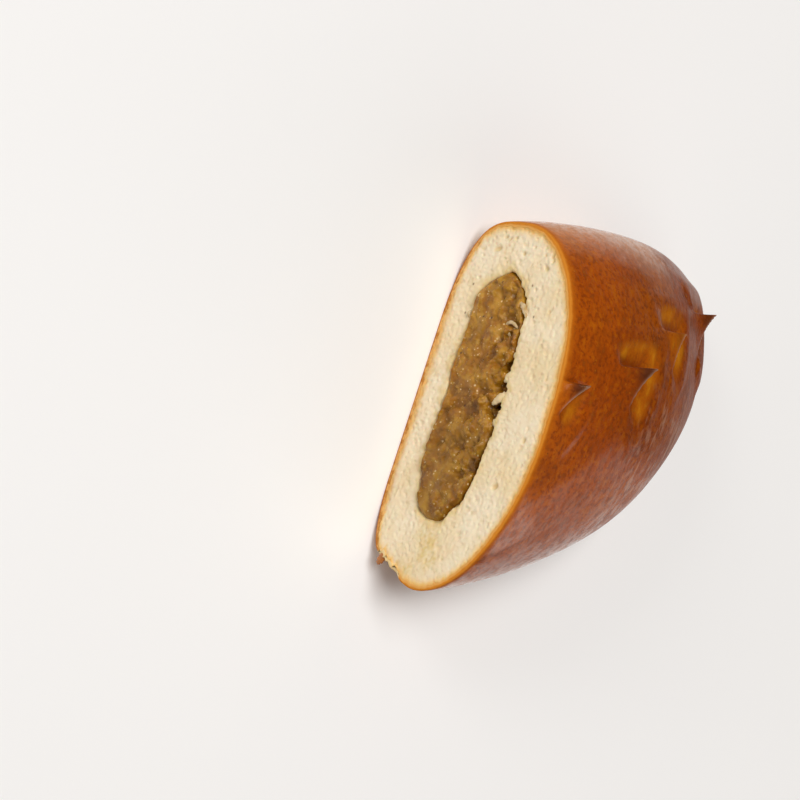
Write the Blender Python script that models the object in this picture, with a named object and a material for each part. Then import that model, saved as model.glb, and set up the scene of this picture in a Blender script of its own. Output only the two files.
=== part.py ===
"""Half of an oblong apple bun, cut across at a slant and resting on its flat base.

Everything is in metres with +Z up. The cut face looks along -Y, the dome is up,
and the origin is the middle of the floor of the bounding box. The bread and the
apple filling are two closed solids.

Three sets of coordinates are used. Bun coordinates have x along the long axis of
the whole bun, y across it and z up. Cut coordinates have u square to the cut
plane, v along the cut face and z up. World coordinates are X = -v, Y = u, Z = z.
"""
import math

import bpy
import numpy as np

MM = 0.001

# Whole bun that the half is cut from
BUN_LENGTH = 153.0 * MM
BUN_WIDTH = 73.2 * MM
BUN_HEIGHT = 40.2 * MM
PLAN_POWER = 1.807
PLAN_ROUNDING = 1.648
DOME_POWER = 2.56
DOME_ROUNDING = 0.968
DOME_AT_END = 0.204
UPPER_SQUARENESS = 2.113
LOWER_SQUARENESS = 3.571
WIDEST_HEIGHT_SHARE = 0.408
END_LIFT_POWER = 14.0
BASE_TRIM = 0.5 * MM

# Slanting cut across the bun
CUT_SLANT = math.radians(29.4)
CUT_OFFSET = 3.8 * MM

# Snips along the dome. Each has its station, side, height, turn, reach to the left,
# reach to the right, slope of the right edge of its flap and height of its rim.
SNIPS = (
    (4.6 * MM, 6.4 * MM, 3.0 * MM, 0.10, 0.35, 0.90, 0.60, 0.22 * MM),
    (24.9 * MM, 5.0 * MM, 3.4 * MM, 0.20, 1.35, 1.35, 0.95, 0.22 * MM),
    (42.8 * MM, 7.7 * MM, 1.7 * MM, 0.12, 1.35, 1.05, 0.95, 0.22 * MM),
    (63.7 * MM, 5.5 * MM, 3.4 * MM, 0.05, 0.90, 0.90, 0.95, 0.80 * MM),
)
SNIP_SIDE = 6.2 * MM
SNIP_LEAN = 0.35
FLAP_LENGTH = 7.6 * MM
FLAP_POWER = 2.1
FLAP_TIP_WIDTH = 1.0 * MM
FLAP_FRONT = 2.0 * MM
FLAP_WALL = 1.6 * MM
FLAP_WALL_TOP = 0.6 * MM
FLAP_ROUNDING = 2.2 * MM
FLAP_CROWN = 0.45
LEFT_SLOPE = 0.62
OPENING_DEPTH = 1.7 * MM
OPENING_SOFTNESS = 0.5 * MM
OPENING_BLEND = 1.2 * MM
OPENING_LIP = 2.0 * MM
OPENING_LEFT = (5.3 * MM, 0.51)
OPENING_RIGHT = (9.1 * MM, 1.19)
OPENING_RIGHT_BACK = (8.6 * MM, 0.47)
OPENING_BACK = 6.3 * MM
RIM_REACH = 1.5 * MM
RIM_OFFSET = 0.8
CALM_EDGE = 1.8 * MM

# Corner torn off the cut edge beside the base
TEAR_V = -41.5 * MM
TEAR_Z = 6.5 * MM
TEAR_REACH = 6.0 * MM
TEAR_BITE = 3.4 * MM
TEAR_DEPTH = 15.0 * MM

# Slow unevenness of the dome
SWELL_HEIGHT = 0.35 * MM
SWELL_WAVES = ((61.0, 34.0, 0.4), (143.0, -87.0, 1.9), (96.0, 171.0, 4.4))

# Apple filling and the hollow that holds it
FILLING_V = 0.8 * MM
FILLING_Z = 15.9 * MM
FILLING_HALF_WIDTH = 27.0 * MM
FILLING_HALF_HEIGHT = 9.0 * MM
FILLING_WAVES = (
    (1, 0.032, -0.12),
    (2, 0.039, 1.88),
    (3, 0.026, -2.92),
    (4, 0.055, -1.43),
    (8, 0.015, 1.22),
    (9, 0.019, 0.95),
    (10, 0.012, -3.05),
    (11, 0.008, -1.89),
)
FILLING_END = 51.0 * MM
FILLING_TAPER = 2.3
FILLING_ROUNDING = 1.9
FILLING_GAP = 0.42 * MM
FILLING_END_GAP = 1.5 * MM
FILLING_RECESS = 0.7 * MM
FILLING_LUMP = 0.6 * MM
LUMP_WAVES = ((310.0, 470.0, 0.3), (-520.0, 390.0, 2.6), (640.0, 820.0, 5.0))

# Mesh density
COLUMNS = 68
SPINE_DENSITY = 3.8
SPINE_REACH = 10.0 * MM
ROWS = 64
ROW_DENSITY = 1.8
ROW_REACH = 3.8 * MM
END_DENSITY = 1.5
END_POWER = 10.0
PROGRESS_SAMPLES = 2001
FACE_RINGS = 5
HOLLOW_RINGS = 12
FRONT_RINGS = 7
TABLE_STATIONS = 321
TABLE_START = -0.55
SECTION_SAMPLES = 721

CRUST_COLOR = (0.42, 0.135, 0.022, 1.0)
FILLING_COLOR = (0.30, 0.215, 0.085, 1.0)


def signed_power(values, power):
    """Return the power of the size of values with their sign kept."""
    return np.sign(values) * np.abs(values) ** power


def fade(share, power, rounding):
    """Return a curve that falls from one to zero while share goes from zero to one."""
    return np.maximum(1.0 - np.abs(share) ** power, 0.0) ** (1.0 / rounding)


def smooth_step(values, low, high):
    """Return a smooth rise from zero at low to one at high."""
    t = np.clip((values - low) / (high - low), 0.0, 1.0)
    return t * t * (3.0 - 2.0 * t)


def bun_section(share):
    """Return y and z around one cross-section, from the middle of the base and back."""
    half_width = 0.5 * BUN_WIDTH * fade(share, PLAN_POWER, PLAN_ROUNDING)
    rise = fade(share, DOME_POWER, DOME_ROUNDING)
    top = BUN_HEIGHT * (DOME_AT_END + (1.0 - DOME_AT_END) * rise)
    widest = BUN_HEIGHT * WIDEST_HEIGHT_SHARE * 0.5 * (1.0 + rise)
    floor = widest * (1.0 - math.sqrt(1.0 - abs(share) ** END_LIFT_POWER))
    angle = np.linspace(-0.5 * math.pi, 1.5 * math.pi, SECTION_SAMPLES)
    level = np.sin(angle)
    power = np.where(level >= 0.0, 2.0 / UPPER_SQUARENESS, 2.0 / LOWER_SQUARENESS)
    y = half_width * signed_power(np.cos(angle), power)
    reach = np.where(level >= 0.0, max(top - widest, 0.0), widest - floor)
    z = widest + reach * signed_power(level, power)
    return y, z


def column_points(y, z):
    """Return the section resampled to the mesh columns, closer along the snips."""
    widest = 0.5 * (z.min() + z.max())
    on_spine = np.exp(-(((y - SNIP_SIDE) / SPINE_REACH) ** 2)) * (z > widest)
    weight = 1.0 + SPINE_DENSITY * on_spine
    step = np.hypot(np.diff(y), np.diff(z)) * 0.5 * (weight[1:] + weight[:-1])
    walked = np.concatenate([[0.0], np.cumsum(step)])
    wanted = walked[-1] * np.arange(COLUMNS) / COLUMNS
    return np.interp(wanted, walked, y), np.interp(wanted, walked, z)


def bun_table():
    """Return x of the table stations and y and z of every column at each of them."""
    shares = np.linspace(TABLE_START, 1.0, TABLE_STATIONS)
    sections = [column_points(*bun_section(share)) for share in shares[:-1]]
    end_height = BUN_HEIGHT * WIDEST_HEIGHT_SHARE * 0.5
    sections.append((np.zeros(COLUMNS), np.full(COLUMNS, end_height)))
    y = np.array([section[0] for section in sections])
    z = np.array([section[1] for section in sections])
    return 0.5 * BUN_LENGTH * shares, y, z


def to_cut(points):
    """Turn bun coordinates into cut coordinates."""
    cosine, sine = math.cos(CUT_SLANT), math.sin(CUT_SLANT)
    u = CUT_OFFSET + cosine * points[..., 0] - sine * points[..., 1]
    v = sine * points[..., 0] + cosine * points[..., 1]
    return np.stack([u, v, points[..., 2]], axis=-1)


def to_bun(points):
    """Turn cut coordinates into bun coordinates."""
    cosine, sine = math.cos(CUT_SLANT), math.sin(CUT_SLANT)
    across = points[..., 0] - CUT_OFFSET
    x = cosine * across + sine * points[..., 1]
    y = cosine * points[..., 1] - sine * across
    return np.stack([x, y, points[..., 2]], axis=-1)


def row_progress():
    """Return how far towards the end each row lies, closer at the snips and the end."""
    share = np.linspace(0.0, 1.0, PROGRESS_SAMPLES)
    start = SNIP_SIDE * math.tan(CUT_SLANT) - CUT_OFFSET / math.cos(CUT_SLANT)
    x = start + share * (0.5 * BUN_LENGTH - start)
    near = sum(np.exp(-(((x - snip[0]) / ROW_REACH) ** 2)) for snip in SNIPS)
    weight = 1.0 + ROW_DENSITY * near + END_DENSITY * share ** END_POWER
    walked = np.concatenate([[0.0], np.cumsum(0.5 * (weight[1:] + weight[:-1]))])
    return np.interp(walked[-1] * np.arange(ROWS) / ROWS, walked, share)


def smooth_rows():
    """Return the mesh rows of the smooth half in bun coordinates, cut edge first."""
    stations, table_y, table_z = bun_table()
    progress = row_progress()
    rows = np.zeros((ROWS, COLUMNS, 3))
    for column in range(COLUMNS):
        y, z = table_y[:, column], table_z[:, column]
        ahead = to_cut(np.stack([stations, y, z], axis=-1))[:, 0]
        start = np.interp(0.0, ahead, stations)
        x = start + progress * (0.5 * BUN_LENGTH - start)
        rows[:, column, 0] = x
        rows[:, column, 1] = np.interp(x, stations, y)
        rows[:, column, 2] = np.interp(x, stations, z)
    return rows


def row_normals(rows):
    """Return the outward unit normals of the rows."""
    along = np.gradient(rows, axis=0)
    around = np.roll(rows, -1, axis=1) - np.roll(rows, 1, axis=1)
    normals = np.cross(around, along)
    length = np.linalg.norm(normals, axis=-1, keepdims=True)
    return normals / np.maximum(length, 1e-12)


def opening_margin(p, q, left, right):
    """Return the distance inside the straight far edges of an opening, rounded between them."""
    edges = [
        (left * OPENING_LEFT[0] - OPENING_LEFT[1] * p - q) / math.hypot(1.0, OPENING_LEFT[1]),
        (right * OPENING_RIGHT[0] - OPENING_RIGHT[1] * p + q) / math.hypot(1.0, OPENING_RIGHT[1]),
        (right * OPENING_RIGHT_BACK[0] - OPENING_RIGHT_BACK[1] * p + q)
        / math.hypot(1.0, OPENING_RIGHT_BACK[1]),
        p + OPENING_BACK,
    ]
    least = np.minimum.reduce(edges)
    total = sum(np.exp(-(edge - least) / OPENING_BLEND) for edge in edges)
    return least - OPENING_BLEND * np.log(total)


def snip_relief(points, snip):
    """Return the height of one snip over the skin and how far its flap leans forward.

    The flap is a wedge behind its tip. The opening round it lies inside straight far
    edges, is deepest beside the flap and has a raised rim.
    """
    station, side, height, turn, left, right, right_slope, rim_height = snip
    dx, dy = points[..., 0] - station, points[..., 1] - side
    p = math.cos(turn) * dx + math.sin(turn) * dy
    q = math.cos(turn) * dy - math.sin(turn) * dx
    inside = np.minimum(
        (FLAP_TIP_WIDTH - LEFT_SLOPE * p - q) / math.hypot(1.0, LEFT_SLOPE),
        (FLAP_TIP_WIDTH - right_slope * p + q) / math.hypot(1.0, right_slope),
    )
    margin = opening_margin(p, q, left, right)
    within = np.maximum(margin, 0.0)
    outside = np.maximum(-inside, 0.0)
    share = within / (within + outside + OPENING_SOFTNESS)
    depth = OPENING_DEPTH * share * smooth_step(margin, 0.0, OPENING_LIP)
    rim = rim_height * np.exp(-((margin / RIM_REACH + RIM_OFFSET) ** 2))
    back = np.clip(1.0 + p / FLAP_LENGTH, 0.0, 1.0)
    crown = 1.0 - FLAP_CROWN * (1.0 - np.sqrt(smooth_step(inside, 0.0, FLAP_ROUNDING)))
    flap = height * back ** FLAP_POWER * (crown * (1.0 - back ** 3) + back ** 3)
    on_flap = smooth_step(inside, -FLAP_WALL, FLAP_WALL_TOP) * (p < FLAP_FRONT)
    flap = flap * on_flap
    return flap + (1.0 - on_flap) * (rim - depth), SNIP_LEAN * flap


def swell(points):
    """Return the slow unevenness of the dome."""
    waves = [np.sin(a * points[..., 0] + b * points[..., 1] + c) for a, b, c in SWELL_WAVES]
    return SWELL_HEIGHT * sum(waves) / len(waves)


def relieved_rows():
    """Return the rows in cut coordinates with snips, swells and the torn corner."""
    rows = smooth_rows()
    normals = row_normals(rows)
    raised = np.clip((rows[..., 2] - 8.0 * MM) / (10.0 * MM), 0.0, 1.0)
    rise = swell(rows) * raised
    lean = np.zeros(rows.shape[:2])
    ahead = to_cut(rows)[..., 0]
    on_dome = np.clip(normals[..., 2] * 4.0, 0.0, 1.0) * smooth_step(ahead, 0.0, CALM_EDGE)
    for snip in SNIPS:
        height, forward = snip_relief(rows, snip)
        rise = rise + height * on_dome
        lean = lean + forward * on_dome
    moved = rows + normals * rise[..., None]
    moved[..., 0] += lean
    moved[..., 2] = np.maximum(moved[..., 2] - BASE_TRIM, 0.0)
    cut = to_cut(moved)
    near = np.hypot(cut[..., 1] - TEAR_V, cut[..., 2] - TEAR_Z) / TEAR_REACH
    bite = TEAR_BITE * np.exp(-(near ** 2)) * np.clip(1.0 - cut[..., 0] / TEAR_DEPTH, 0.0, 1.0)
    cut[..., 1] += bite
    cut[0, :, 0] = 0.0
    return cut


def filling_outline(angle):
    """Return v and z of the filling edge at the cut for a turn about its middle."""
    waves = [share * np.sin(count * angle + phase) for count, share, phase in FILLING_WAVES]
    reach = 1.0 + sum(waves)
    v = FILLING_V + FILLING_HALF_WIDTH * reach * np.cos(angle)
    z = FILLING_Z + FILLING_HALF_HEIGHT * reach * np.sin(angle)
    return np.stack([v, z], axis=-1)


def shrunk(outline, distance):
    """Return a closed outline that runs anticlockwise, moved inwards by a distance."""
    along = np.roll(outline, -1, axis=0) - np.roll(outline, 1, axis=0)
    along = along / np.linalg.norm(along, axis=1, keepdims=True)
    inward = np.stack([-along[:, 1], along[:, 0]], axis=1)
    return outline + distance * inward


def hollow_rings(outline, end):
    """Return rings that run from an outline at the cut into the bun and taper to its end."""
    edge = to_bun(np.column_stack([np.zeros(len(outline)), outline]))
    middle = to_bun(np.array([0.0, FILLING_V, FILLING_Z]))
    rings = []
    for share in np.sin(0.5 * math.pi * np.arange(HOLLOW_RINGS) / HOLLOW_RINGS):
        size = fade(share, FILLING_TAPER, FILLING_ROUNDING)
        ring = middle + (edge - middle) * np.array([1.0, size, size])
        ring[:, 0] = edge[:, 0] + share * (end - edge[:, 0])
        rings.append(to_cut(ring))
    tip = to_cut(np.array([end, middle[1], middle[2]]))
    return rings, tip


def ring_angles(edge):
    """Return the turns about the filling middle at which the points of the edge lie."""
    return np.arctan2(
        (edge[:, 2] - FILLING_Z) / FILLING_HALF_HEIGHT,
        (edge[:, 1] - FILLING_V) / FILLING_HALF_WIDTH,
    )


def blended_rings(outer, inner, count):
    """Return the rings between two rings, without either of them."""
    shares = np.arange(1, count) / count
    return [outer * (1.0 - share) + inner * share for share in shares]


def joined_faces(ring_count, width, first_tip, last_tip):
    """Return quads between rings of a closed body and triangles to the tips at its ends."""
    faces = []
    for ring in range(ring_count - 1):
        for column in range(width):
            following = (column + 1) % width
            a, b = ring * width + column, ring * width + following
            faces.append((a, a + width, b + width, b))
    last = (ring_count - 1) * width
    for column in range(width):
        following = (column + 1) % width
        faces.append((first_tip, column, following))
        faces.append((last_tip, last + following, last + column))
    return faces


def to_world(points, shift):
    """Turn cut coordinates into world coordinates."""
    world = np.stack([-points[:, 1], points[:, 0], points[:, 2]], axis=1)
    return world + shift


def make_object(name, rings, first_tip, last_tip, shift, material):
    """Create one closed smooth-shaded body from rings and the tips at both ends."""
    width = len(rings[0])
    points = np.concatenate(rings + [first_tip[None, :], last_tip[None, :]])
    first = len(rings) * width
    mesh = bpy.data.meshes.new(name)
    faces = joined_faces(len(rings), width, first, first + 1)
    mesh.from_pydata(to_world(points, shift).tolist(), [], faces)
    mesh.update()
    mesh.polygons.foreach_set("use_smooth", [True] * len(mesh.polygons))
    mesh.materials.append(material)
    body = bpy.data.objects.new(name, mesh)
    bpy.context.scene.collection.objects.link(body)
    return body


def make_material(name, color, roughness):
    """Create a plain Principled material."""
    material = bpy.data.materials.new(name)
    material.use_nodes = True
    shader = material.node_tree.nodes["Principled BSDF"]
    shader.inputs["Base Color"].default_value = color
    shader.inputs["Roughness"].default_value = roughness
    material.diffuse_color = color
    return material


def bread_rings(rows):
    """Return the rings of the bread from the end of the bun to the depth of the hollow."""
    edge = rows[0]
    outline = filling_outline(ring_angles(edge))
    rim = np.column_stack([np.zeros(len(outline)), outline])
    hollow, tip = hollow_rings(outline, FILLING_END)
    rings = [rows[row] for row in range(ROWS - 1, -1, -1)]
    rings += blended_rings(edge, rim, FACE_RINGS)
    rings += hollow
    return rings, tip


def filling_rings(rows):
    """Return the rings of the filling from its tip in the bun to the middle of its front."""
    outline = shrunk(filling_outline(ring_angles(rows[0])), FILLING_GAP)
    wall, tip = hollow_rings(outline, FILLING_END - FILLING_END_GAP)
    sunk = np.array([FILLING_RECESS, FILLING_RECESS * math.tan(CUT_SLANT), 0.0])
    front_edge = wall[0] + sunk
    middle = np.array([0.0, FILLING_V, FILLING_Z]) + sunk
    front = blended_rings(front_edge, np.tile(middle, (COLUMNS, 1)), FRONT_RINGS)
    for ring in front:
        lumps = [np.sin(a * ring[:, 1] + b * ring[:, 2] + c) for a, b, c in LUMP_WAVES]
        ring[:, 0] += FILLING_LUMP * sum(lumps) / len(lumps)
    rings = wall[:0:-1] + [front_edge] + front
    return rings, tip, middle


def clear_scene():
    """Remove every object of the scene."""
    for item in list(bpy.data.objects):
        bpy.data.objects.remove(item, do_unlink=True)


def main():
    """Build the bread and its apple filling."""
    clear_scene()
    rows = relieved_rows()
    end_height = BUN_HEIGHT * WIDEST_HEIGHT_SHARE * 0.5 - BASE_TRIM
    end = to_cut(np.array([0.5 * BUN_LENGTH, 0.0, end_height]))
    points = rows.reshape(-1, 3)
    reach = np.vstack([points, end])
    shift = np.array([
        0.5 * (reach[:, 1].min() + reach[:, 1].max()),
        -0.5 * (reach[:, 0].min() + reach[:, 0].max()),
        0.0,
    ])
    crust = make_material("golden_crust", CRUST_COLOR, 0.32)
    apple = make_material("apple_puree", FILLING_COLOR, 0.22)
    rings, hollow_tip = bread_rings(rows)
    make_object("bread", rings, end, hollow_tip, shift, crust)
    rings, filling_tip, front_middle = filling_rings(rows)
    make_object("apple_filling", rings, filling_tip, front_middle, shift, apple)


main()
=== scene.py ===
"""Looks of a cut half of an oblong apple bun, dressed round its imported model.

Every piece is a surface worked out as whole arrays. Three sets of coordinates are
used. Bun coordinates have x along the long axis of the whole bun, y across it and z
up. Cut coordinates have u square to the cut plane and into the bun, v along the cut
face and z up. World coordinates are X = middle - v, Y = u + cut plane, Z = z.
All lengths are in metres.
"""

import logging
import math
from dataclasses import dataclass, field
from enum import Enum
from typing import Any, Optional, Sequence, Union

import bpy
import numpy as np
from mathutils import Matrix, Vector
from numpy.typing import NDArray


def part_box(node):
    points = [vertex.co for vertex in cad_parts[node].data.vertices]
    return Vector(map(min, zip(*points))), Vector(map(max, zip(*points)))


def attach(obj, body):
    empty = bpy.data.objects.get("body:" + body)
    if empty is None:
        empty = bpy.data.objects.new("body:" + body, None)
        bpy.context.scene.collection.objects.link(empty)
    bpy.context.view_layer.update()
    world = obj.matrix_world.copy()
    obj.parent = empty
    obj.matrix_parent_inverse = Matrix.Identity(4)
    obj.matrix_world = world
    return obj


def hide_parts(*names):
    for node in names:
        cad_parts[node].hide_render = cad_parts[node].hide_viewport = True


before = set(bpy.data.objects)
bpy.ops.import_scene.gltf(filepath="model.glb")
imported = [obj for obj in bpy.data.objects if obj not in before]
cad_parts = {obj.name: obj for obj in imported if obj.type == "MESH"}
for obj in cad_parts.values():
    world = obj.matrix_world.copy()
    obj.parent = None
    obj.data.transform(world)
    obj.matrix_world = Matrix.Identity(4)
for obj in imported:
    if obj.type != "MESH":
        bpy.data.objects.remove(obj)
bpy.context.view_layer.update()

Array = NDArray[np.float64]
Color = tuple[float, float, float]
Point = tuple[float, float, float]

MM = 0.001
BODY = "root"
log = logging.getLogger("bun")


class Slot(Enum):
    """Material slots of the record, one handed to each piece as it is settled."""

    CRUST = "golden_crust"
    APPLE = "apple_puree"


class Mask(Enum):
    """Names of the painted amounts that the meshes carry."""

    EDGE = "edge_distance"
    SNIP = "snip_open"
    TOAST = "toasted"
    UNDER = "underside"
    TORN = "torn"
    # painted shade in the pores of the crumb
    PORE_SHADE = "pore"
    MOIST = "moist"
    TINT = "tint"
    # painted shade in recesses: down the hollow's lining and in the apple's creases
    RECESS_SHADE = "depth"
    RIND = "rind"
    SPECK = "speck"
    # painted highlight along the right edges of the flaps
    PAINTED_HIGHLIGHT = "painted_highlight"
    # painted shade in the openings beside the flaps
    SHADE = "shade"


Masks = dict[Mask, Array]


def signed_power(values: Array, power: Union[float, Array]) -> Array:
    """Return the power of the size of values, with their sign kept."""
    return np.sign(values) * np.abs(values) ** power


def fade(share: Array, power: float, rounding: float) -> Array:
    """Return (1 - share^power)^(1/rounding), which falls from one to zero."""
    return np.maximum(1.0 - np.abs(share) ** power, 0.0) ** (1.0 / rounding)


def smooth_step(values: Array, low: float, high: float) -> Array:
    """Return 3t^2 - 2t^3, where t runs from zero at low to one at high."""
    t = np.clip((values - low) / (high - low), 0.0, 1.0)
    return t * t * (3.0 - 2.0 * t)


def hump(values: Array, width: float) -> Array:
    """Return exp(-(value / width)^2)."""
    return np.exp(-((values / width) ** 2))


def unit(vectors: Array) -> Array:
    """Return vectors scaled to a length of one."""
    return vectors / np.maximum(np.linalg.norm(vectors, axis=-1, keepdims=True), 1e-12)


def turned(a: Any, b: Any, angle: float) -> tuple[Any, Any]:
    """Return the coordinates a and b along axes that are turned by an angle."""
    cosine, sine = math.cos(angle), math.sin(angle)
    return cosine * a + sine * b, cosine * b - sine * a


def smallest(choices: Sequence[Array], blend: float) -> Array:
    """Return the smallest of the choices, rounded: -blend * log(sum(exp(-choice/blend)))."""
    least = np.minimum.reduce(choices)
    total = sum(np.exp(-(choice - least) / blend) for choice in choices)
    return least - blend * np.log(total)


def spots(points: Array, centres: Sequence[tuple[float, float]], size: float) -> Array:
    """Return the sum of exp(-(distance / size)^4) over centres given by v and z in mm."""
    total = np.zeros(points.shape[:-1])
    for v, z in centres:
        away = np.hypot(points[..., 1] - v * MM, points[..., 2] - z * MM) / size
        total += np.exp(-(away ** 4))
    return total


def evened(count: int, samples: Array, weights: Array) -> Array:
    """Space points along samples so that they are closest where the weights are high.

    Args:
        count: Number of points, the last of them one step short of the end.
        samples: Rising values of the parameter.
        weights: Weight of the step that ends at each sample but the first.

    Returns:
        The parameter at each point.
    """
    walked = np.concatenate([[0.0], np.cumsum(weights)])
    return np.interp(walked[-1] * np.arange(count) / count, walked, samples)


@dataclass(frozen=True)
class WaveNoise:
    """Smooth noise of about -1 to 1: a sum of sine waves with random headings and phases."""

    scale: float
    seed: int
    waves: int = 14
    spread: float = 0.6
    strength: float = 0.6

    def at(self, points: Array) -> Array:
        """Return the noise at points, whose last axis holds two or three coordinates."""
        random = np.random.default_rng(self.seed)
        heading = unit(random.normal(size=(self.waves, points.shape[-1])))
        length = self.scale * random.uniform(1.0 - self.spread, 1.0 + self.spread, self.waves)
        phase = random.uniform(0.0, 2.0 * math.pi, self.waves)
        total = np.zeros(points.shape[:-1])
        for direction, size, start in zip(heading, length, phase):
            total += np.sin(points @ (direction * 2.0 * math.pi / size) + start)
        return total * math.sqrt(2.0 / self.waves) * self.strength


@dataclass(frozen=True)
class Cut:
    """The slanted plane that the bun is cut along."""

    slant: float = math.radians(29.4)
    offset: float = 3.8 * MM

    def to_cut(self, points: Array) -> Array:
        """Turn bun coordinates into cut coordinates."""
        u, v = turned(points[..., 0], points[..., 1], -self.slant)
        return np.stack([self.offset + u, v, points[..., 2]], axis=-1)

    def to_bun(self, points: Array) -> Array:
        """Turn cut coordinates into bun coordinates."""
        x, y = turned(points[..., 0] - self.offset, points[..., 1], self.slant)
        return np.stack([x, y, points[..., 2]], axis=-1)

    def start(self, y: Array) -> Array:
        """Return x of the cut plane at a distance y across the bun."""
        return y * math.tan(self.slant) - self.offset / math.cos(self.slant)


@dataclass(frozen=True)
class BunForm:
    """Smooth outer shape of the whole bun."""

    length: float = 153.0 * MM
    width: float = 73.2 * MM
    height: float = 40.2 * MM
    plan_power: float = 1.807
    plan_rounding: float = 1.648
    dome_power: float = 2.56
    dome_rounding: float = 0.968
    dome_at_end: float = 0.204
    upper_squareness: float = 2.113
    lower_squareness: float = 3.571
    widest_share: float = 0.408
    end_lift: float = 14.0
    base_trim: float = 0.5 * MM
    spine: float = 6.2 * MM
    spine_reach: float = 12.0 * MM
    section_share: float = 0.15
    samples: int = 6001

    @property
    def half(self) -> float:
        """Half of the length of the whole bun."""
        return 0.5 * self.length

    def section(self, share: Array, turn: Array) -> tuple[Array, Array]:
        """Work out points of cross-sections.

        The section is half of a superellipse above its widest height and another
        below it: y = width * cos^(2/n) of the turn, z = widest + reach * sin^(2/n).

        Args:
            share: Station along the bun as a share of its half length.
            turn: Angle round the section, from the middle of the base.

        Returns:
            y and z of the points.
        """
        rise = fade(share, self.dome_power, self.dome_rounding)
        top = self.height * (self.dome_at_end + (1.0 - self.dome_at_end) * rise)
        widest = self.height * self.widest_share * 0.5 * (1.0 + rise)
        lift = 1.0 - np.sqrt(np.maximum(1.0 - np.abs(share) ** self.end_lift, 0.0))
        level = np.sin(turn)
        power = 2.0 / np.where(level >= 0.0, self.upper_squareness, self.lower_squareness)
        half_width = 0.5 * self.width * fade(share, self.plan_power, self.plan_rounding)
        y = half_width * signed_power(np.cos(turn), power)
        reach = np.where(level >= 0.0, np.maximum(top - widest, 0.0), widest * (1.0 - lift))
        return y, widest + reach * signed_power(level, power)

    def turns(self, count: int, density: float) -> Array:
        """Return turns spaced evenly round a section, closer along the spiked spine."""
        turn = np.linspace(-0.5 * math.pi, 1.5 * math.pi, self.samples)
        y, z = self.section(np.full_like(turn, self.section_share), turn)
        weight = 1.0 + density * hump(y - self.spine, self.spine_reach) * (np.sin(turn) > 0.0)
        return evened(count, turn, np.hypot(np.diff(y), np.diff(z)) * weight[1:])


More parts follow.
